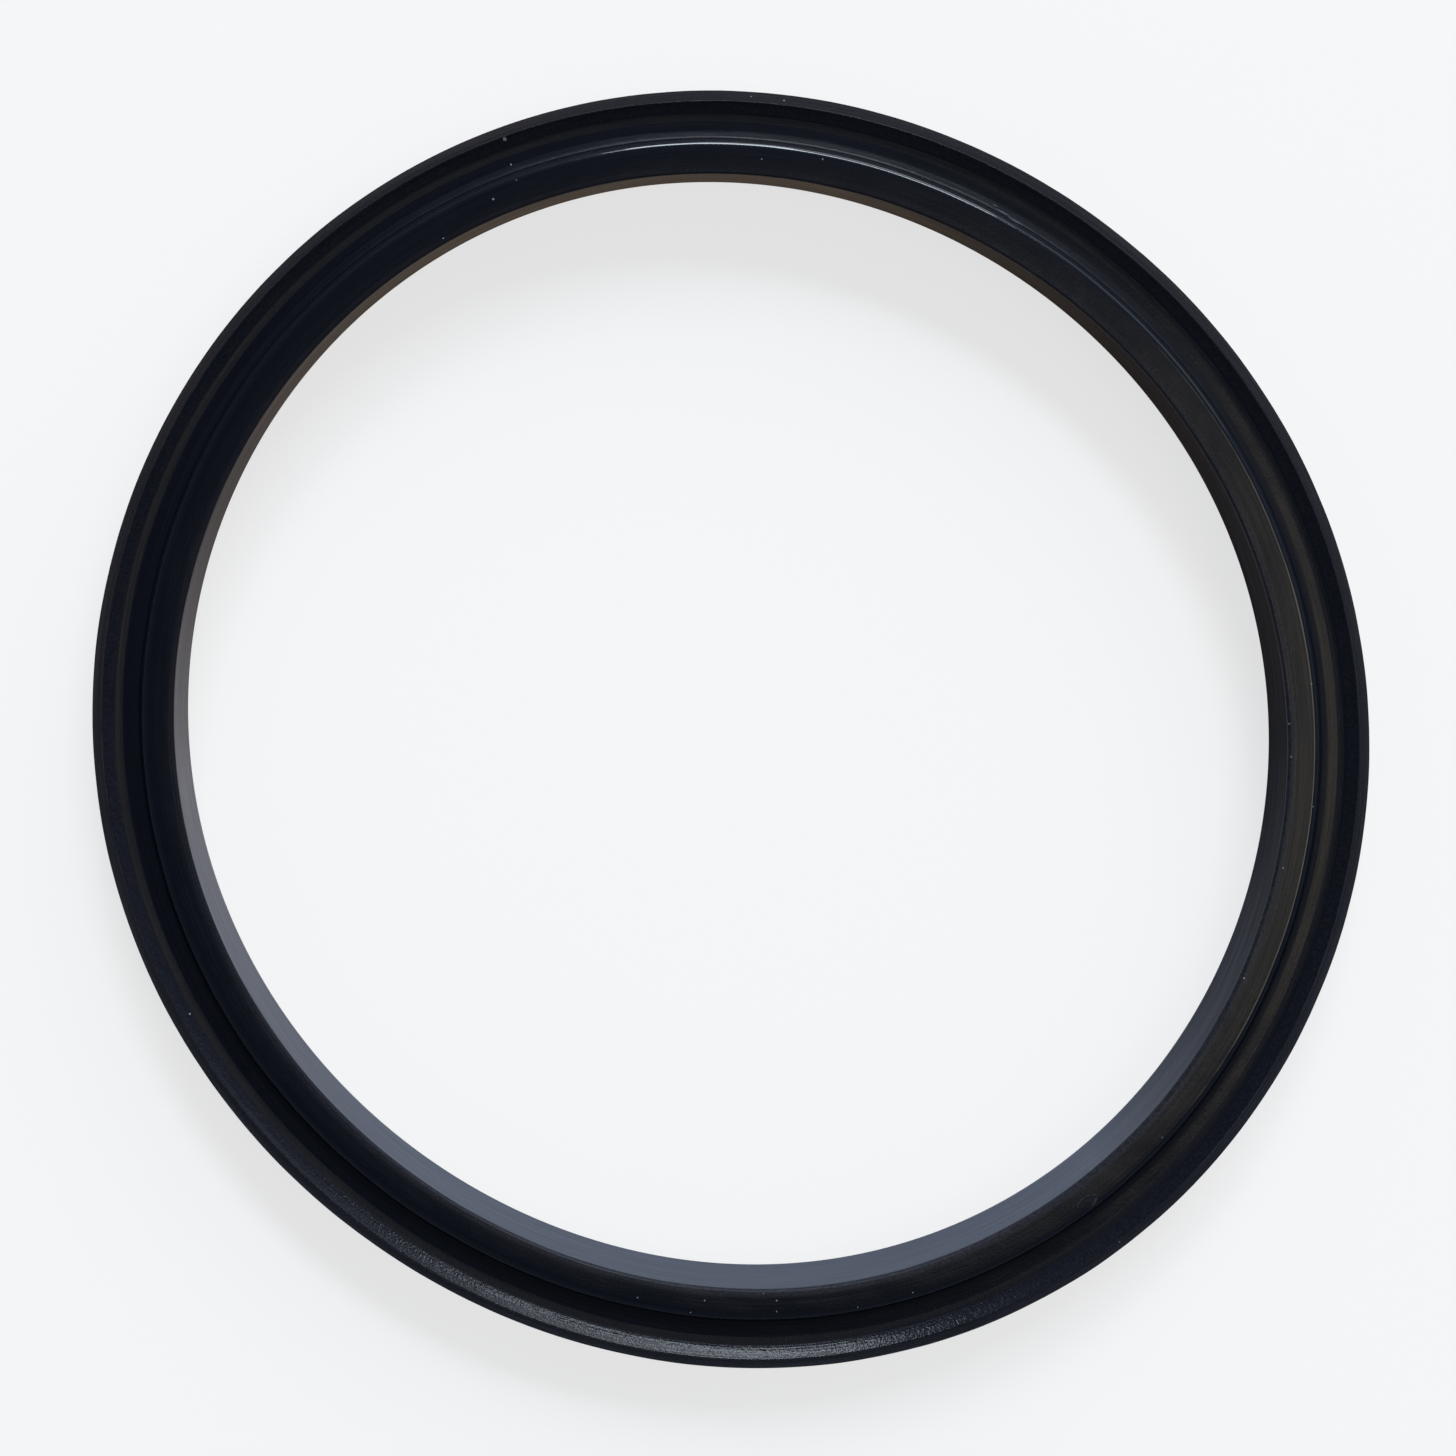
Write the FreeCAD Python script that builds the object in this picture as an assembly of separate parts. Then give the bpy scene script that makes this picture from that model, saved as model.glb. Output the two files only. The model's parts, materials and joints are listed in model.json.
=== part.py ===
import FreeCAD, Part
import math
import os

# Sealing ring that seats a pump's guide vane, moulded in rubber as one piece.
# The ring lies flat: its axis is Z, and its underside is at z = 0.
# All sizes are in millimetres. Widths are measured outwards, along a radius.

# Inner leg: stands highest, with a flat top and a straight bore
bore_diameter = 112.7
leg_width = 3.2
leg_rise = 1.6            # flat top above the channel's lowest circle
leg_edge_radius = 0.55    # outer edge of the flat top
leg_draft_run = 0.4       # how far the leg's outer wall leans outwards on its way down
bore_edge_width = 0.3     # the flat top's worn inner edge slopes down to the bore
bore_edge_drop = 0.12

# Channel between the leg and the lip: its floor falls slightly outwards
channel_width = 1.61      # foot of the leg to the start of the lip's rise
channel_fall = 0.155
channel_fillet = 1.35     # radius of the hollow foot of the leg's outer wall

# Lip: a tight hollow and then a wide one rise to a sharp crest, and the rim bevels outwards
foot_hollow_radius = 2.2
foot_hollow_angle = 25.5  # degrees from level where the tight hollow ends
lip_hollow_radius = 5.5
lip_angle = 41.0          # degrees from level at the crest
bevel_width = 1.25
bevel_drop = 1.4          # crest down to the top of the outer wall

# Heel: the solid base under the leg, the channel and the lip
heel_height = 8.4         # channel's lowest circle above the underside
heel_chamfer = 0.4        # outer edge of the underside

# The lip's two hollows are arcs, level at the start of the rise and tangent to each other
foot_turn = math.radians(foot_hollow_angle)
lip_turn = math.radians(lip_angle)
foot_run = foot_hollow_radius * math.sin(foot_turn)
foot_rise = foot_hollow_radius * (1 - math.cos(foot_turn))
lip_run = lip_hollow_radius * (math.sin(lip_turn) - math.sin(foot_turn))
lip_rise = lip_hollow_radius * (math.cos(foot_turn) - math.cos(lip_turn))

# Radii of the section's corners, from the bore outwards
bore_r = bore_diameter / 2
leg_outer_r = bore_r + leg_width
leg_foot_r = leg_outer_r + leg_draft_run
slope_foot_r = leg_foot_r + channel_width
hollows_meet_r = slope_foot_r + foot_run
crest_r = hollows_meet_r + lip_run
outer_r = crest_r + bevel_width

# Heights of the section's corners
top_z = heel_height + leg_rise
leg_foot_z = heel_height + channel_fall
hollows_meet_z = heel_height + foot_rise
crest_z = hollows_meet_z + lip_rise
outer_wall_z = crest_z - bevel_drop


def point(r, z):
    """A point of the section, which lies in the XZ plane."""
    return FreeCAD.Vector(r, 0, z)


def half_angle(before, corner, after):
    """Half the angle between the two straight sides that meet at a corner."""
    return (before - corner).getAngle(after - corner) / 2


def rounded(before, corner, after, radius):
    """Arc tangent to the two straight sides that meet at a corner."""
    half = half_angle(before, corner, after)
    to_before = (before - corner).normalize()
    to_after = (after - corner).normalize()
    bisector = (to_before + to_after).normalize()
    centre = corner + bisector * (radius / math.sin(half))
    start = corner + to_before * (radius / math.tan(half))
    end = corner + to_after * (radius / math.tan(half))
    return Part.Arc(start, centre - bisector * radius, end)


def hollow(start, radius, first_turn, last_turn):
    """Arc that curves upwards and outwards, from one angle above level to a steeper one."""
    centre = start + point(-radius * math.sin(first_turn), radius * math.cos(first_turn))
    middle_turn = (first_turn + last_turn) / 2
    middle = centre + point(radius * math.sin(middle_turn), -radius * math.cos(middle_turn))
    end = centre + point(radius * math.sin(last_turn), -radius * math.cos(last_turn))
    return Part.Arc(start, middle, end)


def ring_section():
    """Closed outline of the ring's section, in order from the bore's lower edge outwards."""
    bore_foot = point(bore_r, 0)
    heel_inside = point(outer_r - heel_chamfer, 0)
    heel_outside = point(outer_r, heel_chamfer)
    bevel_foot = point(outer_r, outer_wall_z)
    crest = point(crest_r, crest_z)
    hollows_meet = point(hollows_meet_r, hollows_meet_z)
    slope_foot = point(slope_foot_r, heel_height)
    leg_foot = point(leg_foot_r, leg_foot_z)
    leg_edge = point(leg_outer_r, top_z)
    bore_edge = point(bore_r + bore_edge_width, top_z)
    bore_mouth = point(bore_r, top_z - bore_edge_drop)

    foot_hollow = hollow(slope_foot, foot_hollow_radius, 0, foot_turn)
    lip_hollow = hollow(hollows_meet, lip_hollow_radius, foot_turn, lip_turn)

    # The fillet shares the leg's outer wall with the rounding above it, and keeps within it
    edge_half = half_angle(leg_foot, leg_edge, bore_edge)
    foot_half = half_angle(slope_foot, leg_foot, leg_edge)
    free_wall = (leg_edge - leg_foot).Length - leg_edge_radius / math.tan(edge_half)
    fillet_radius = min(channel_fillet, free_wall * math.tan(foot_half))
    foot_fillet = rounded(slope_foot, leg_foot, leg_edge, fillet_radius)
    leg_edge_round = rounded(leg_foot, leg_edge, bore_edge, leg_edge_radius)

    curves = [
        Part.LineSegment(bore_foot, heel_inside),
        Part.LineSegment(heel_inside, heel_outside),
        Part.LineSegment(heel_outside, bevel_foot),
        Part.LineSegment(bevel_foot, crest),
        lip_hollow,
        foot_hollow,
        Part.LineSegment(slope_foot, foot_fillet.StartPoint),
        foot_fillet,
        Part.LineSegment(foot_fillet.EndPoint, leg_edge_round.StartPoint),
        leg_edge_round,
        Part.LineSegment(leg_edge_round.EndPoint, bore_edge),
        Part.LineSegment(bore_edge, bore_mouth),
        Part.LineSegment(bore_mouth, bore_foot),
    ]
    return Part.Wire([curve.toShape() for curve in curves])


def gasket_ring():
    """The whole ring: its section turned once about the Z axis."""
    section = Part.Face(ring_section())
    axis_foot = FreeCAD.Vector(0, 0, 0)
    axis_direction = FreeCAD.Vector(0, 0, 1)
    return section.revolve(axis_foot, axis_direction, 360)


os.makedirs("parts", exist_ok=True)
ring = gasket_ring()
ring.exportStep("parts/gasket_ring.step")
print("gasket_ring", ring.ShapeType, "valid", ring.isValid(), "volume mm3", round(ring.Volume, 1))
print("outer diameter", round(2 * outer_r, 2), "bore", bore_diameter, "height", round(top_z, 2))
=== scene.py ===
import json
import math

import bpy
from mathutils import Matrix, Vector, noise


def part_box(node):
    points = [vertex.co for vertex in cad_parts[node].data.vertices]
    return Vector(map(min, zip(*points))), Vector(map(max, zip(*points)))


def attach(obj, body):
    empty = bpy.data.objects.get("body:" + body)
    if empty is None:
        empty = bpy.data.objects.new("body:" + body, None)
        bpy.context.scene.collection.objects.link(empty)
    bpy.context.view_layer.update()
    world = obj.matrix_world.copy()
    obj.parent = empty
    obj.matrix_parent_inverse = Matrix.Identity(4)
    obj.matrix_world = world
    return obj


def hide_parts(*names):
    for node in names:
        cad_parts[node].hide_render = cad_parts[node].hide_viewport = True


# A moulded rubber sealing ring, lying flat on a pale floor and seen almost straight from above.
# Sizes are in millimetres unless a name says otherwise, and MM turns them into metres.

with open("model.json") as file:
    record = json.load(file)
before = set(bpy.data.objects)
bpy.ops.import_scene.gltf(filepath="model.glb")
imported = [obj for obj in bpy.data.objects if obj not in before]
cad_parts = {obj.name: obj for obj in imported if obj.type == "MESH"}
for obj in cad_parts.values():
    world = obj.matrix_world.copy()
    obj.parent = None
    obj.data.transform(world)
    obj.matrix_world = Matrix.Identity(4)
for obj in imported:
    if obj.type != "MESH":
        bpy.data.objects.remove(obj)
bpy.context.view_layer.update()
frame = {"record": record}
MM = 0.001

RING_NODE = "gasket_ring"
RUBBER_SLOT = "moulded_rubber"
_, HIGH_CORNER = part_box(RING_NODE)
MOUNTS = {mount["name"]: mount for mount in frame["record"]["mounts"]}

# The ring's section, with its three main sizes taken from the frame
BORE_R = MOUNTS["guide_vane_bore"]["dims"]["r_mm"]
OUTER_R = HIGH_CORNER.x / MM
TOP_Z = HIGH_CORNER.z / MM
LEG_RISE = 1.6
CROWN_START = 1.6         # outer part of the leg's top, which falls slightly outwards
CROWN_END = 2.69          # these two, and the cove's start, are measured outwards from the bore
CROWN_DROP = 0.04
CROWN_BOW = 0.01
SHOULDER_RADIUS = 0.9     # the leg's outer edge: a wide polished rounding and then a tight one
SHOULDER_TILT = 32.0
EDGE_RADIUS = 0.15
WALL_TILT = 71.0
DIP_WIDTH = 1.0           # inner part of the leg's top, which falls slightly towards the bore
DIP_DROP = 0.03
DIP_BOW = 0.008
MOUTH_RADIUS = 0.28       # rounding of the bore's upper edge, larger on the side where it is worn
WORN_MOUTH_RADIUS = 0.45
WORN_MOUTH_ANGLE = 305.0
WORN_MOUTH_SPREAD = 120.0
MOUTH_PAINTED_LIGHT = 0.04          # share of painted light, a pale film painting the brighter reflection where the bore's edge is most worn
MOUTH_PAINTED_LIGHT_SPREAD = 200.0
MOUTH_PAINTED_LIGHT_WIDTH = 1.0     # it ends this far from the bore, and thins out over the outer half
FLOOR_TILT = 4.5          # the channel's floor falls outwards by these degrees
COVE_START = 4.42         # the leg's wall rises from the floor in a dull cove of four arcs
COVE_FOOT_RADIUS = 1.5
COVE_FOOT_TILT = 9.5
COVE_APRON_RADIUS = 9.9
COVE_APRON_TILT = 12.0
COVE_RADIUS = 0.48
COVE_TILT = 50.0
COVE_HEAD_RADIUS = 0.3
FOOT_START_RADIUS = 1.0   # the lip rises in a hollow of four arcs
FOOT_START_TILT = 6.0
FOOT_APRON_RADIUS = 6.3
FOOT_APRON_TILT = 11.0
FOOT_HOLLOW_RADIUS = 0.98
FOOT_HOLLOW_TILT = 27.0
LIP_HOLLOW_RADIUS = 5.5
LIP_TILT = 41.0
BEVEL_WIDTH = 1.25
BEVEL_DROP = 1.4
BEVEL_BOW = 0.05
HEEL_CHAMFER = 0.4

# Small roundings that moulded rubber has at its edges
CREST_RADIUS = 0.07
BEVEL_FOOT_RADIUS = 0.12
BORE_FOOT_RADIUS = 0.12
CHAMFER_RADIUS = 0.15
SUPPORT = 0.03            # points this far from each rounding keep the flats beside it flat

# Directions in which the section's chains of arcs rise
OUTWARDS = 1
INWARDS = -1

# Surface zones: roughness, height of the fine grain in millimetres, share of painted light (a pale film in
# the base colour that brightens the lip, the rim, the cove and the leg's wall as reflected room light would),
# and polish
HEEL = (0.5, 0.015, 0.0, 0.0)
RIM = (0.76, 0.045, 0.008, 0.0)
LIP = (0.19, 0.04, 0.0135, 0.0)
LIP_FOOT = (0.37, 0.025, 0.0, 0.0)
CHANNEL = (0.25, 0.016, 0.001, 0.0)
COVE = (0.36, 0.02, 0.001, 0.0)
LEG_WALL = (0.4, 0.02, 0.025, 0.0)
SHOULDER = (0.11, 0.002, 0.0, 0.5)
LEG_TOP = (0.28, 0.014, 0.0, 0.0)
MOUTH = (0.5, 0.014, 0.0, 0.0)
WALL = (0.36, 0.006, 0.0, 0.0)

# The wall's roughness changes round the ring: (angle in degrees, roughness)
WALL_DULLNESS = [(0, 0.95), (40, 0.95), (80, 0.62), (155, 0.56), (185, 0.34),
                 (310, 0.32), (335, 0.64), (360, 0.95)]

# The soft ring lies slightly out of round: cosine and sine amplitudes of its set, by waves in a turn
SET_WAVES = {2: (-0.1415, -1.1115), 3: (-0.0948, -0.0062), 4: (0.0242, 0.1042)}
LEG_SHIFT = Vector((-0.095, 0.251, 0.0))  # the leg and the rim also lie slightly off the centre
RIM_SHIFT = Vector((0.05, 0.0, 0.0))
CREST_SHARE = 0.35        # how much of the leg's shift the lip's crest has

# Unevenness of the moulded surface: height, and noise cells in the ring's radius and per millimetre across
LONG_WAVES = (0.04, 9.0, 0.25)
SHORT_WAVES = (0.012, 30.0, 0.8)
SHORT_WAVES_OFFSET = 40.0
WAVES_FULL_HEIGHT = 4.0   # they fade out below this height
SIDEWAYS_WAVES = 0.5      # share of their height by which they also move the surface sideways
TURN_STEPS = 660

# Camera, from the photograph's perspective
CAMERA_DISTANCE = 312.0
CAMERA_TARGET = Vector((-0.767, 1.589, 10.0))
CAMERA_LEAN = Vector((-0.0257, 0.0925, 1.0))
FOCAL_PIXELS = 3092.4
IMAGE_PIXELS = 1456
SENSOR_MM = 36.0

# Pale specks of dust, by their pixel in the photograph and half their width
SPECKS = [(504, 138, 0.2), (510, 163, 0.1), (516, 180, 0.05), (493, 199, 0.11), (443, 238, 0.08),
          (761, 159, 0.06), (822, 159, 0.07), (784, 99, 0.08), (751, 95, 0.06), (1288, 723, 0.08),
          (1290, 756, 0.07), (1310, 683, 0.07), (1282, 867, 0.08), (1312, 806, 0.06), (1243, 977, 0.09),
          (1161, 1136, 0.07), (1120, 1243, 0.1), (912, 1291, 0.07), (857, 1306, 0.06), (776, 1310, 0.07),
          (776, 1299, 0.09), (763, 1292, 0.06), (704, 1299, 0.08), (690, 1311, 0.06), (637, 1296, 0.07),
          (188, 1015, 0.1)]
# Short scuffs beside the leg, by their middle's pixel and half their length
SCUFFS = [(1004, 211, 0.75), (1016, 220, 0.85), (996, 204, 0.3)]
SCUFF_HALF_WIDTH = 0.05
# Faint oval moulding mark on the leg's top
OVAL_PIXEL = (1085, 1202)
OVAL_HALF_LENGTH = 1.15
OVAL_HALF_WIDTH = 0.6
MARKS_Z = 9.6             # mean height of the surface that carries them

# Rubber: its gloss and colours
RUBBER_SPECULAR = 0.19
POLISH_ROUGHNESS = 0.1
RUBBER_DARK = (0.0016, 0.0021, 0.0051, 1.0)
RUBBER_LIGHT = (0.0026, 0.0033, 0.0072, 1.0)
# colour of the real dust and marks, and also of the pale film that paints light
DUST_AND_PAINTED_LIGHT_COLOR = (0.35, 0.33, 0.4, 1.0)

# Noise cells: the streaks' in the ring's radius and per millimetre across, the other two's in a metre
STREAK_SCALE = 4.0
MOTTLE_SCALE = 900.0
GRIT_SCALE = 3600.0
NOISE_LOW = 0.3           # the gloss and the film change in full between these values of a noise
NOISE_HIGH = 0.7
STREAK_GLOSS_CHANGE = 0.15
STREAK_GRAIN = 0.5        # parts of the fine grain's height, up and down
MOTTLE_GRAIN = 0.3
GRIT_GRAIN = 0.35
THIN_PAINTED_LIGHT = 0.3           # the painted light is patchy between these
THICK_PAINTED_LIGHT = 1.7

# Marks: share of the dust's colour in each, and the shares of its half size between which it fades out
SPECK_PALENESS = 0.75
SPECK_EDGE = (0.7, 1.1)
SPECK_ROUGHNESS = 0.8     # times the speck's paleness
SCUFF_PALENESS = 0.35
SCUFF_EDGE = (0.3, 1.2)
OVAL_PALENESS = 0.09
OVAL_LINE = 0.24          # half width of its line, as a share of the oval's half sizes
OVAL_RIDGE = 0.03         # its line is also a ridge of this height, with a half width as above
OVAL_RIDGE_LINE = 0.25
OVAL_BREAKS = (0.44, 0.56)  # its line is broken: values of the mottle where it is gone and where clearest
OVAL_CLEAREST = 1.2       # strength of the line where it is clearest

# Floor: its paint, its glow for the camera and in reflections, and the tint of the reflected glow
FLOOR_PAINT = (0.98, 0.93, 0.89, 1.0)
FLOOR_GLOW = 0.7
FLOOR_GLOW_COLOR = (1.0, 1.0, 1.0, 1.0)
FLOOR_MIRRORED_GLOW = 0.4
FLOOR_COOL_TINT = (0.72, 0.95, 1.5, 1.0)
FLOOR_WARM_TINT = (1.3, 0.95, 0.65, 1.0)
FLOOR_TINT_REACH = 45.0   # painted light and shade in reflections: the tint goes from cool, as of a sky-lit floor, to warm, as of a floor in shade, between these places on the Y axis
FLOOR_HALF_WIDTH = 6000.0
FLOOR_GAP = 0.02          # below the ring's underside

# Room: its colour, and its strengths with the heights where they hold: 0 is level and 1 is overhead
ROOM_COLOR = (0.68, 0.85, 1.12, 1.0)
LIGHTER_SIDE = (0.5, 0.87, 0.0)
SIDE_START = 0.1          # how far towards the lighter side its glow starts, and where it is full
SIDE_END = 0.95
SIDE_STRENGTH = 0.4
HORIZON_STRENGTH = 0.1
BAND_STRENGTH = 0.23
BAND_HEIGHT = 0.4
UPPER_STRENGTH = 0.13
UPPER_HEIGHT = 0.9
OVERHEAD_STRENGTH = 0.12  # added to the upper strength
OVERHEAD_START = 0.93
OVERHEAD_END = 0.995

# Lamps: name, azimuth, tilt away from overhead, width and height in degrees, radiance, colour
LAMPS = [
    ("window", 89.5, 50.5, 15.0, 13.0, 20.5, (0.82, 0.91, 1.0)),
    ("window_side", 69.0, 44.0, 18.0, 6.5, 22.0, (0.82, 0.91, 1.0)),
    ("low_glow", 74.0, 66.0, 30.0, 20.0, 3.0, (0.93, 0.97, 1.0)),
    ("side_glow", 52.0, 68.0, 44.0, 28.0, 0.85, (0.93, 0.97, 1.0)),
    ("overhead_glow", -17.0, 20.0, 21.0, 17.0, 2.6, (1.0, 0.9, 0.68)),
    ("overhead_haze", -75.0, 10.0, 16.0, 8.0, 0.55, (0.7, 0.87, 1.0)),
    ("overhead_tube", -38.0, 11.0, 1.6, 8.0, 9.0, (1.0, 0.93, 0.74)),
]
LAMP_DISTANCE = 4.0       # of each of them, in metres


def to_camera_matrix(location, target):
    """Placement of a camera that looks from one point to another, with +Y upwards in its view."""
    backwards = (location - target).normalized()
    sideways = Vector((0.0, 1.0, 0.0)).cross(backwards).normalized()
    upwards = backwards.cross(sideways)
    turn = Matrix((sideways, upwards, backwards)).transposed().to_4x4()
    return Matrix.Translation(location) @ turn


def camera_location():
    """Where the photograph was taken from, in millimetres."""
    return CAMERA_TARGET + CAMERA_LEAN.normalized() * CAMERA_DISTANCE


def at_pixel(x, y):
    """Place that the photograph shows at a pixel on the marks' level, in millimetres and with no height."""
    middle = (IMAGE_PIXELS - 1) / 2
    ray = Vector(((x - middle) / FOCAL_PIXELS, (middle - y) / FOCAL_PIXELS, -1.0))
    matrix = to_camera_matrix(camera_location(), CAMERA_TARGET)
    direction = matrix.to_3x3() @ ray
    place = matrix.translation + direction * ((MARKS_Z - matrix.translation.z) / direction.z)
    return Vector((place.x, place.y, 0.0))


def add_camera():
    """The photograph's view of the ring."""
    data = bpy.data.cameras.new("camera")
    data.sensor_width = SENSOR_MM
    data.lens = FOCAL_PIXELS * SENSOR_MM / IMAGE_PIXELS
    camera = bpy.data.objects.new("camera", data)
    camera.matrix_world = to_camera_matrix(camera_location() * MM, CAMERA_TARGET * MM)
    bpy.context.scene.collection.objects.link(camera)
    bpy.context.scene.camera = camera


def unit(a, b):
    """Unit vector from one section point to another."""
    length = math.hypot(b[0] - a[0], b[1] - a[1])
    return (b[0] - a[0]) / length, (b[1] - a[1]) / length


def round_corner(before, corner, after, radius, steps):
    """Points of the arc that rounds a corner of the section."""
    to_before = unit(corner, before)
    to_after = unit(corner, after)
    angle = math.acos(to_before[0] * to_after[0] + to_before[1] * to_after[1])
    setback = radius / math.tan(angle / 2)
    bisector = unit((0, 0), (to_before[0] + to_after[0], to_before[1] + to_after[1]))
    reach = radius / math.sin(angle / 2)
    centre = (corner[0] + bisector[0] * reach, corner[1] + bisector[1] * reach)
    start = (corner[0] + to_before[0] * setback, corner[1] + to_before[1] * setback)
    end = (corner[0] + to_after[0] * setback, corner[1] + to_after[1] * setback)
    first = math.atan2(start[1] - centre[1], start[0] - centre[0])
    last = math.atan2(end[1] - centre[1], end[0] - centre[0])
    sweep = (last - first + math.pi) % (2 * math.pi) - math.pi
    points = []
    for step in range(steps + 1):
        turn = first + sweep * step / steps
        points.append((centre[0] + radius * math.cos(turn), centre[1] + radius * math.sin(turn)))
    return points


def hollow_rise(start, radius, first_tilt, last_tilt, steps):
    """Points of the hollow arc that curves up from one tilt to another."""
    first = math.radians(first_tilt)
    last = math.radians(last_tilt)
    points = []
    for step in range(steps + 1):
        angle = first + (last - first) * step / steps
        r = start[0] + radius * (math.sin(angle) - math.sin(first))
        z = start[1] + radius * (math.cos(first) - math.cos(angle))
        points.append((r, z))
    return points


def rise(start, arcs, first_tilt, direction):
    """Points of a chain of arcs (radius, tilt at its end, steps) that rise outwards or inwards.

    A positive radius makes a hollow, and a negative one a rounding.
    """
    points = [start]
    tilt = first_tilt
    for radius, last_tilt, steps in arcs:
        start_r = points[-1][0]
        outwards = hollow_rise(points[-1], radius, tilt, last_tilt, steps)
        points += [(start_r + direction * (r - start_r), z) for r, z in outwards[1:]]
        tilt = last_tilt
    return points


def side(start, end, steps, bow):
    """Points between two section points, with one close to each end, bowed outwards by a small height."""
    along = unit(start, end)
    near_start = (start[0] + along[0] * SUPPORT, start[1] + along[1] * SUPPORT)
    near_end = (end[0] - along[0] * SUPPORT, end[1] - along[1] * SUPPORT)
    points = []
    for step in range(steps + 1):
        share = step / steps
        height = 4 * bow * share * (1 - share)
        r = near_start[0] + (near_end[0] - near_start[0]) * share + along[1] * height
        z = near_start[1] + (near_end[1] - near_start[1]) * share - along[0] * height
        points.append((r, z))
    return points


def ring_section(mouth_radius):
    """Closed outline of the section as (r, z, zone), from the bore's foot outwards and over the top."""
    heel_z = TOP_Z - LEG_RISE
    crest_r = OUTER_R - BEVEL_WIDTH
    foot_arcs = [(FOOT_START_RADIUS, FOOT_START_TILT, 3), (FOOT_APRON_RADIUS, FOOT_APRON_TILT, 3),
                 (FOOT_HOLLOW_RADIUS, FOOT_HOLLOW_TILT, 7)]
    lip_arcs = [(LIP_HOLLOW_RADIUS, LIP_TILT, 10)]
    foot_run = rise((0.0, 0.0), foot_arcs + lip_arcs, 0.0, OUTWARDS)[-1][0]
    slope_foot = (crest_r - foot_run, heel_z)
    foot_hollow = rise(slope_foot, foot_arcs, 0.0, OUTWARDS)
    lip_hollow = rise(foot_hollow[-1], lip_arcs, FOOT_HOLLOW_TILT, OUTWARDS)
    crest = lip_hollow[-1]
    bevel_foot = (OUTER_R, crest[1] - BEVEL_DROP)

    # The cove starts on the channel's sloping floor, and the shoulder ends at the leg's crown
    floor_end_r = BORE_R + COVE_START
    floor_end = (floor_end_r, heel_z + math.tan(math.radians(FLOOR_TILT)) * (slope_foot[0] - floor_end_r))
    cove_arcs = [(COVE_FOOT_RADIUS, COVE_FOOT_TILT, 3), (COVE_APRON_RADIUS, COVE_APRON_TILT, 3),
                 (COVE_RADIUS, COVE_TILT, 9), (COVE_HEAD_RADIUS, WALL_TILT, 3)]
    cove = rise(floor_end, cove_arcs, FLOOR_TILT, INWARDS)
    crown_start = (BORE_R + CROWN_START, TOP_Z)
    crown_end = (BORE_R + CROWN_END, TOP_Z - CROWN_DROP)
    crown_tilt = math.degrees(math.atan2(CROWN_DROP, CROWN_END - CROWN_START))
    shoulder_arcs = [(-EDGE_RADIUS, SHOULDER_TILT, 5), (-SHOULDER_RADIUS, crown_tilt, 16)]
    shoulder = rise((0.0, 0.0), shoulder_arcs, WALL_TILT, INWARDS)
    move_r = crown_end[0] - shoulder[-1][0]
    move_z = crown_end[1] - shoulder[-1][1]
    shoulder = [(r + move_r, z + move_z) for r, z in shoulder]
    dip_start = (BORE_R + DIP_WIDTH, TOP_Z)
    bore_mouth = (BORE_R, TOP_Z - DIP_DROP)
    bore_foot = (BORE_R, 0.0)
    heel_inside = (OUTER_R - HEEL_CHAMFER, 0.0)
    heel_outside = (OUTER_R, HEEL_CHAMFER)

    # Each rounding with its zone, and the side that follows it: steps, bow and zone
    pieces = [
        (round_corner(bore_mouth, bore_foot, heel_inside, BORE_FOOT_RADIUS, 3), HEEL, 4, 0.0, HEEL),
        (round_corner(bore_foot, heel_inside, heel_outside, CHAMFER_RADIUS, 2), HEEL, 1, 0.0, HEEL),
        (round_corner(heel_inside, heel_outside, bevel_foot, CHAMFER_RADIUS, 2), HEEL, 3, 0.0, RIM),
        (round_corner(heel_outside, bevel_foot, crest, BEVEL_FOOT_RADIUS, 5), RIM, 5, BEVEL_BOW, RIM),
        (round_corner(bevel_foot, crest, lip_hollow[-2], CREST_RADIUS, 4), LIP, 0, 0.0, LIP),
        (lip_hollow[-2::-1], LIP, 0, 0.0, LIP),
        (foot_hollow[-2::-1], LIP_FOOT, 3, 0.0, CHANNEL),
        (cove, COVE, 3, 0.0, LEG_WALL),
        (shoulder, SHOULDER, 6, CROWN_BOW, LEG_TOP),
        ([crown_start], LEG_TOP, 2, 0.0, LEG_TOP),
        ([dip_start], LEG_TOP, 4, DIP_BOW, LEG_TOP),
        (round_corner(dip_start, bore_mouth, bore_foot, mouth_radius, 7), MOUTH, 4, 0.0, WALL),
    ]
    outline = []
    for index, (points, zone, steps, bow, side_zone) in enumerate(pieces):
        following = pieces[(index + 1) % len(pieces)][0]
        outline += [(r, z, zone) for r, z in points]
        if steps:
            outline += [(r, z, side_zone) for r, z in side(points[-1], following[0], steps, bow)]
    return outline


def ring_set(turn):
    """How far the ring lies outside its true circle at an angle, in millimetres."""
    return sum(c * math.cos(n * turn) + s * math.sin(n * turn) for n, (c, s) in SET_WAVES.items())


def wall_dullness(turn):
    """Roughness of the bore's wall at an angle."""
    angle = math.degrees(turn)
    for (low, start), (high, end) in zip(WALL_DULLNESS, WALL_DULLNESS[1:]):
        if angle <= high:
            return start + (end - start) * (angle - low) / (high - low)


def waviness(turn, across, z):
    """Slight unevenness of the moulded surface in millimetres, which fades towards the flat underside."""
    height = 0.0
    for (amplitude, cells, cells_across), offset in ((LONG_WAVES, 0.0), (SHORT_WAVES, SHORT_WAVES_OFFSET)):
        place = Vector((cells * math.cos(turn), cells * math.sin(turn), cells_across * across + offset))
        height += amplitude * noise.noise(place)
    return height * min(1.0, max(0.0, z / WAVES_FULL_HEIGHT))


def mouth_wear_and_light(turn, spread):
    """Wear of the bore's upper edge at an angle, which also weights the painted light there: 1 where it is
    most worn, fading over a spread in degrees.
    """
    away = (turn - math.radians(WORN_MOUTH_ANGLE) + math.pi) % (2 * math.pi) - math.pi
    return math.exp(-(away / math.radians(spread / 2)) ** 2)


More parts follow.
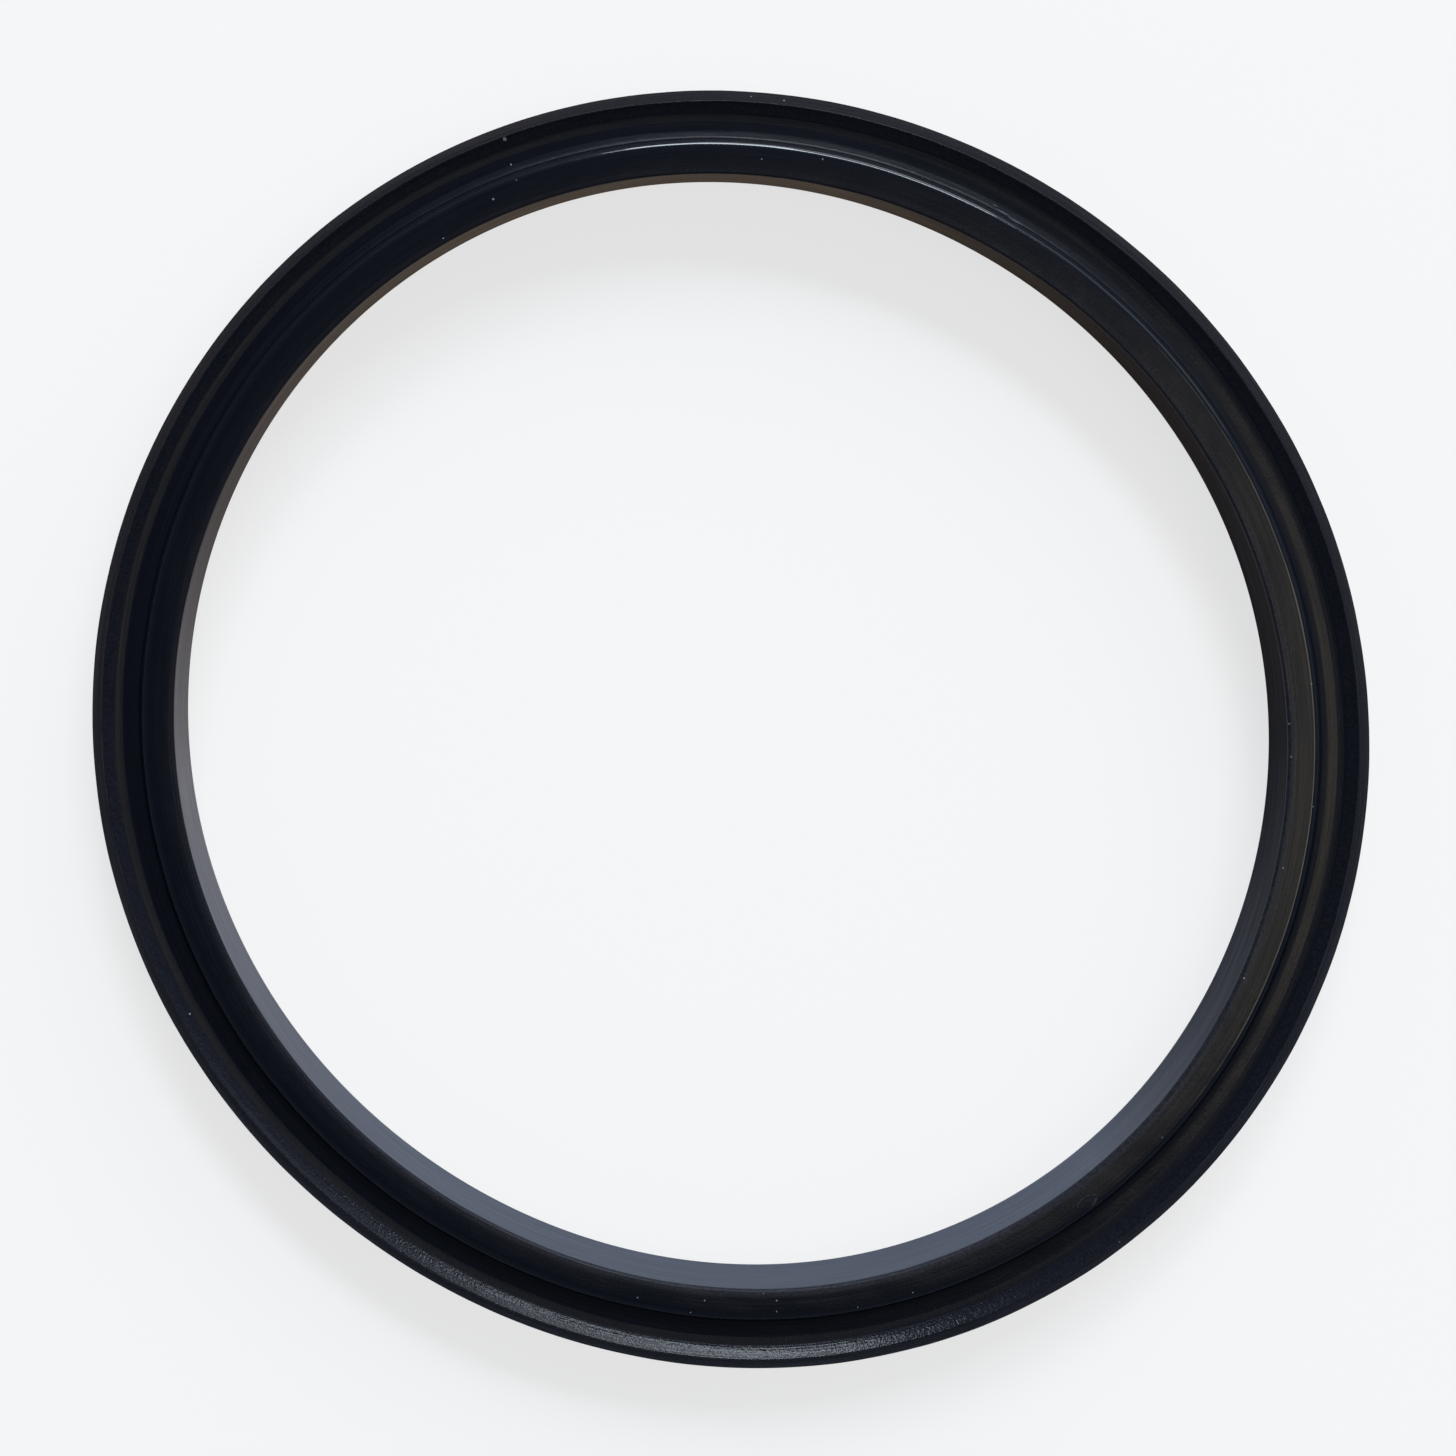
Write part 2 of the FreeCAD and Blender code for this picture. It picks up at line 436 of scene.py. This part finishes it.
def build_ring():
    """The rubber ring as one dense mesh: its section carried once round the out-of-round circle."""
    outline = ring_section(MOUTH_RADIUS)
    worn_outline = ring_section(WORN_MOUTH_RADIUS)
    leg_foot_r = BORE_R + COVE_START
    crest_r = OUTER_R - BEVEL_WIDTH
    across = [0.0]
    for a, b in zip(outline, outline[1:]):
        across.append(across[-1] + math.hypot(b[0] - a[0], b[1] - a[1]))

    vertices = []
    dullness = []
    film = []
    grain = [zone[1] * MM for _, _, zone in outline]
    polish = [zone[3] for _, _, zone in outline]
    for step in range(TURN_STEPS):
        turn = 2 * math.pi * step / TURN_STEPS
        outwards = Vector((math.cos(turn), math.sin(turn), 0.0))
        offset = ring_set(turn)
        wear = mouth_wear_and_light(turn, WORN_MOUTH_SPREAD)
        # painted light: a pale film paints the worn edge's brighter reflection
        mouth_painted_light = MOUTH_PAINTED_LIGHT * mouth_wear_and_light(turn, MOUTH_PAINTED_LIGHT_SPREAD)
        wall = wall_dullness(turn)
        for (fresh_r, fresh_z, zone), (worn_r, worn_z, _), along in zip(outline, worn_outline, across):
            dullness.append(wall if zone == WALL else zone[0])
            r = fresh_r + (worn_r - fresh_r) * wear
            z = fresh_z + (worn_z - fresh_z) * wear
            thinning = 2 * (1 - (r - BORE_R) / MOUTH_PAINTED_LIGHT_WIDTH)
            painted_light_here = mouth_painted_light * min(1.0, max(0.0, thinning))
            # painted light: the zone's pale film, or the painted light at the bore's worn edge
            film.append(painted_light_here if zone in (MOUTH, LEG_TOP) else zone[2])
            rim_share = max(0.0, (r - crest_r) / (OUTER_R - crest_r))
            if r > crest_r:
                share = CREST_SHARE * (1 - rim_share)
            else:
                share = min(1.0, CREST_SHARE + (1 - CREST_SHARE) * (crest_r - r) / (crest_r - leg_foot_r))
            wave = waviness(turn, along, z)
            across_r = r + offset + wave * SIDEWAYS_WAVES
            place = outwards * across_r + LEG_SHIFT * share + RIM_SHIFT * rim_share
            place.z = z + wave
            vertices.append(place * MM)

    count = len(outline)
    faces = []
    for step in range(TURN_STEPS):
        here = step * count
        there = (step + 1) % TURN_STEPS * count
        for index in range(count):
            beyond = (index + 1) % count
            faces.append((here + index, there + index, there + beyond, here + beyond))

    mesh = bpy.data.meshes.new("rubber_ring")
    mesh.from_pydata(vertices, [], faces)
    mesh.update()
    mesh.shade_smooth()
    attributes = {"across": across * TURN_STEPS, "dullness": dullness, "grain": grain * TURN_STEPS,
                  "film": film, "polish": polish * TURN_STEPS}
    for name, values in attributes.items():
        attribute = mesh.attributes.new(name, "FLOAT", "POINT")
        attribute.data.foreach_set("value", values)
    ring = bpy.data.objects.new("rubber_ring", mesh)
    bpy.context.scene.collection.objects.link(ring)
    return ring


class Nodes:
    """Short ways to add and link the nodes of one material or world."""

    def __init__(self, owner):
        owner.use_nodes = True
        self.tree = owner.node_tree
        self.tree.nodes.clear()

    def add(self, kind, **settings):
        """A new node of some kind."""
        node = self.tree.nodes.new(kind)
        for name, value in settings.items():
            setattr(node, name, value)
        return node

    def link(self, source, target):
        """Join an output to an input."""
        self.tree.links.new(source, target)

    def fill(self, target, value):
        """Join an output to an input, or put a plain value on it."""
        if isinstance(value, bpy.types.NodeSocket):
            self.link(value, target)
        else:
            target.default_value = value

    def operate(self, kind, operation, values):
        """A new node that calculates with outputs or plain values."""
        node = self.add(kind, operation=operation)
        for target, value in zip(node.inputs, values):
            self.fill(target, value)
        return node

    def math(self, operation, *values):
        """Result of a calculation with numbers."""
        return self.operate("ShaderNodeMath", operation, values).outputs[0]

    def vector_math(self, operation, *values, result="Vector"):
        """Result of a calculation with vectors: a vector, or a number where the result is Value."""
        return self.operate("ShaderNodeVectorMath", operation, values).outputs[result]

    def attribute(self, name):
        """A number that the mesh carries at its points."""
        return self.add("ShaderNodeAttribute", attribute_name=name).outputs["Fac"]

    def noise(self, place, scale, detail):
        """Value of a noise at a place."""
        node = self.add("ShaderNodeTexNoise")
        for name, value in (("Vector", place), ("Scale", scale), ("Detail", detail)):
            self.fill(node.inputs[name], value)
        return node.outputs["Fac"]

    def map_range(self, value, low, high, to_low, to_high):
        """A number carried from one range to another, and kept within it."""
        node = self.add("ShaderNodeMapRange")
        self.link(value, node.inputs["Value"])
        for name, number in (("From Min", low), ("From Max", high), ("To Min", to_low), ("To Max", to_high)):
            node.inputs[name].default_value = number
        return node.outputs["Result"]

    def mix(self, factor, first, second):
        """A colour between two colours."""
        node = self.add("ShaderNodeMix", data_type="RGBA")
        for name, value in (("Factor", factor), ("A", first), ("B", second)):
            self.fill(node.inputs[name], value)
        return node.outputs["Result"]

    def nearest_speck(self, place, specks):
        """Distance to the nearest of some round marks (x, y, half width in millimetres): 1 on its edge."""
        nearest = None
        for x, y, half in specks:
            away = self.vector_math("DISTANCE", place, at_pixel(x, y) * MM, result="Value")
            distance = self.math("DIVIDE", away, half * MM)
            nearest = distance if nearest is None else self.math("MINIMUM", nearest, distance)
        return nearest

    def from_oval(self, place, x, y, half_length, half_width):
        """Distance from the middle of an oval that lies along the ring at a pixel: 1 on its edge."""
        middle = at_pixel(x, y)
        outwards = middle.normalized()
        along = Vector((-outwards.y, outwards.x, 0.0))
        away = self.vector_math("SUBTRACT", place, middle * MM)
        squares = []
        for direction, half in ((along, half_length), (outwards, half_width)):
            share = self.vector_math("DOT_PRODUCT", away, direction / (half * MM), result="Value")
            squares.append(self.math("MULTIPLY", share, share))
        return self.math("SQRT", self.math("ADD", *squares))


def rubber_material():
    """Near-black moulded rubber with fine streaks along the ring, specks of dust, a few faint marks, and a
    pale film of painted light.
    """
    material = bpy.data.materials.new(RUBBER_SLOT)
    nodes = Nodes(material)
    shader = nodes.add("ShaderNodeBsdfPrincipled")
    output = nodes.add("ShaderNodeOutputMaterial")
    nodes.link(shader.outputs["BSDF"], output.inputs["Surface"])
    shader.inputs["Specular IOR Level"].default_value = RUBBER_SPECULAR

    place = nodes.add("ShaderNodeTexCoord").outputs["Object"]
    across = nodes.attribute("across")
    flat_place = nodes.vector_math("MULTIPLY", place, (1.0, 1.0, 0.0))
    direction = nodes.vector_math("NORMALIZE", flat_place)
    lift = nodes.add("ShaderNodeCombineXYZ")
    nodes.link(across, lift.inputs["Z"])
    streak_place = nodes.vector_math("ADD", direction, lift.outputs[0])

    streaks = nodes.noise(streak_place, STREAK_SCALE, detail=3.0)
    mottle = nodes.noise(place, MOTTLE_SCALE, detail=3.0)
    grit = nodes.noise(place, GRIT_SCALE, detail=2.0)
    dust = nodes.map_range(nodes.nearest_speck(flat_place, SPECKS), *SPECK_EDGE, SPECK_PALENESS, 0.0)
    # Painted light: the pale film lifts the base colour, patchy with the grit
    patches = nodes.map_range(grit, NOISE_LOW, NOISE_HIGH, THIN_PAINTED_LIGHT, THICK_PAINTED_LIGHT)
    patchy_painted_light = nodes.math("MULTIPLY", nodes.attribute("film"), patches)
    paleness = nodes.math("MAXIMUM", dust, patchy_painted_light)
    for x, y, half_length in SCUFFS:
        scuff = nodes.from_oval(flat_place, x, y, half_length, SCUFF_HALF_WIDTH)
        paleness = nodes.math("MAXIMUM", paleness, nodes.map_range(scuff, *SCUFF_EDGE, SCUFF_PALENESS, 0.0))
    oval = nodes.from_oval(flat_place, *OVAL_PIXEL, OVAL_HALF_LENGTH, OVAL_HALF_WIDTH)
    from_line = nodes.math("ABSOLUTE", nodes.math("SUBTRACT", oval, 1.0))
    outline = nodes.map_range(from_line, 0.0, OVAL_LINE, OVAL_PALENESS, 0.0)
    breaks = nodes.map_range(mottle, *OVAL_BREAKS, 0.0, OVAL_CLEAREST)
    worn_outline = nodes.math("MULTIPLY", outline, breaks)
    paleness = nodes.math("MAXIMUM", paleness, worn_outline)
    change = nodes.map_range(streaks, NOISE_LOW, NOISE_HIGH, 1 - STREAK_GLOSS_CHANGE, 1 + STREAK_GLOSS_CHANGE)
    roughness = nodes.math("MULTIPLY", nodes.attribute("dullness"), change)
    dusty_roughness = nodes.math("MAXIMUM", roughness, nodes.math("MULTIPLY", dust, SPECK_ROUGHNESS))
    nodes.link(dusty_roughness, shader.inputs["Roughness"])
    tone = nodes.mix(mottle, RUBBER_DARK, RUBBER_LIGHT)
    # The pale colour is real dust and marks, and painted light where it comes from the film
    nodes.link(nodes.mix(paleness, tone, DUST_AND_PAINTED_LIGHT_COLOR), shader.inputs["Base Color"])

    # The patterns are centred on zero, so that the grain can fade out on the polished shoulder
    streak_share = nodes.map_range(streaks, 0.0, 1.0, -STREAK_GRAIN, STREAK_GRAIN)
    mottle_share = nodes.map_range(mottle, 0.0, 1.0, -MOTTLE_GRAIN, MOTTLE_GRAIN)
    grit_share = nodes.map_range(grit, 0.0, 1.0, -GRIT_GRAIN, GRIT_GRAIN)
    pattern = nodes.math("ADD", nodes.math("ADD", streak_share, mottle_share), grit_share)
    nodes.link(nodes.attribute("polish"), shader.inputs["Coat Weight"])
    shader.inputs["Coat Roughness"].default_value = POLISH_ROUGHNESS
    ridge_height = nodes.map_range(from_line, 0.0, OVAL_RIDGE_LINE, OVAL_RIDGE * MM, 0.0)
    ridge = nodes.math("MULTIPLY", ridge_height, breaks)
    height = nodes.math("MULTIPLY_ADD", pattern, nodes.attribute("grain"), ridge)
    bump = nodes.add("ShaderNodeBump")
    bump.inputs["Distance"].default_value = 1.0
    bump.inputs["Strength"].default_value = 1.0
    nodes.link(height, bump.inputs["Height"])
    nodes.link(bump.outputs["Normal"], shader.inputs["Normal"])
    return material


def floor_material():
    """Plain white floor, which also glows for the camera and in reflections, where its tint paints light and
    shade.
    """
    material = bpy.data.materials.new("pale_floor")
    nodes = Nodes(material)
    paint = nodes.add("ShaderNodeBsdfDiffuse")
    paint.inputs["Color"].default_value = FLOOR_PAINT
    glow = nodes.add("ShaderNodeEmission")
    rays = nodes.add("ShaderNodeLightPath")
    mirrored = nodes.math("MAXIMUM", rays.outputs["Is Glossy Ray"], rays.outputs["Is Transmission Ray"])
    place = nodes.add("ShaderNodeSeparateXYZ")
    nodes.link(nodes.add("ShaderNodeTexCoord").outputs["Object"], place.inputs[0])
    # Painted light and shade: the reflected glow is cooler towards -Y and warmer towards +Y
    reach = FLOOR_TINT_REACH * MM
    warmth = nodes.map_range(place.outputs["Y"], -reach, reach, 0.0, 1.0)
    tint = nodes.mix(warmth, FLOOR_COOL_TINT, FLOOR_WARM_TINT)
    nodes.link(nodes.mix(mirrored, FLOOR_GLOW_COLOR, tint), glow.inputs["Color"])
    mix = nodes.add("ShaderNodeMixShader")
    seen = nodes.math("MULTIPLY", rays.outputs["Is Camera Ray"], FLOOR_GLOW)
    nodes.link(nodes.math("MULTIPLY_ADD", mirrored, FLOOR_MIRRORED_GLOW, seen), mix.inputs[0])
    nodes.link(paint.outputs[0], mix.inputs[1])
    nodes.link(glow.outputs[0], mix.inputs[2])
    output = nodes.add("ShaderNodeOutputMaterial")
    nodes.link(mix.outputs[0], output.inputs["Surface"])
    return material


def add_floor():
    """A wide pale floor just under the ring."""
    half = FLOOR_HALF_WIDTH * MM
    level = -FLOOR_GAP * MM
    mesh = bpy.data.meshes.new("floor")
    corners = [(-half, -half, level), (half, -half, level), (half, half, level), (-half, half, level)]
    mesh.from_pydata(corners, [], [(0, 1, 2, 3)])
    floor = bpy.data.objects.new("floor", mesh)
    mesh.materials.append(floor_material())
    bpy.context.scene.collection.objects.link(floor)


def add_lamp(name, azimuth, tilt, width_angle, height_angle, radiance, color):
    """A rectangular soft lamp, placed and sized by the angles at which the ring sees it."""
    width = 2 * LAMP_DISTANCE * math.tan(math.radians(width_angle / 2))
    height = 2 * LAMP_DISTANCE * math.tan(math.radians(height_angle / 2))
    data = bpy.data.lights.new(name, "AREA")
    data.shape = "RECTANGLE"
    data.size = width
    data.size_y = height
    data.energy = radiance * math.pi * width * height
    data.color = color
    lamp = bpy.data.objects.new(name, data)
    around = math.radians(azimuth)
    down = math.radians(tilt)
    location = Vector((math.sin(down) * math.cos(around), math.sin(down) * math.sin(around), math.cos(down)))
    location *= LAMP_DISTANCE
    lamp.matrix_world = Matrix.Translation(location) @ location.to_track_quat("Z", "Y").to_matrix().to_4x4()
    bpy.context.scene.collection.objects.link(lamp)


def add_world():
    """A dim room, lighter on the key's side and right overhead, with a faint lighter band low around it."""
    world = bpy.data.worlds.new("room")
    nodes = Nodes(world)
    direction = nodes.add("ShaderNodeTexCoord").outputs["Generated"]
    toward = nodes.vector_math("DOT_PRODUCT", direction, LIGHTER_SIDE, result="Value")
    height = nodes.add("ShaderNodeSeparateXYZ")
    nodes.link(direction, height.inputs[0])
    level = height.outputs["Z"]
    sidelight = nodes.map_range(toward, SIDE_START, SIDE_END, 0.0, SIDE_STRENGTH)
    rising = nodes.map_range(level, 0.0, BAND_HEIGHT, HORIZON_STRENGTH, BAND_STRENGTH)
    falling = nodes.map_range(level, BAND_HEIGHT, UPPER_HEIGHT, BAND_STRENGTH, UPPER_STRENGTH)
    round_about = nodes.math("MINIMUM", rising, falling)
    zenith = nodes.map_range(level, OVERHEAD_START, OVERHEAD_END, 0.0, OVERHEAD_STRENGTH)
    overhead = nodes.math("ADD", round_about, zenith)
    background = nodes.add("ShaderNodeBackground")
    background.inputs["Color"].default_value = ROOM_COLOR
    nodes.link(nodes.math("ADD", sidelight, overhead), background.inputs["Strength"])
    output = nodes.add("ShaderNodeOutputWorld")
    nodes.link(background.outputs[0], output.inputs["Surface"])
    bpy.context.scene.world = world


add_camera()
ring = build_ring()
ring.data.materials.append(rubber_material())
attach(ring, "root")
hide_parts(RING_NODE)
add_floor()
add_world()
for lamp in LAMPS:
    add_lamp(*lamp)
bpy.context.scene.view_settings.view_transform = "Standard"
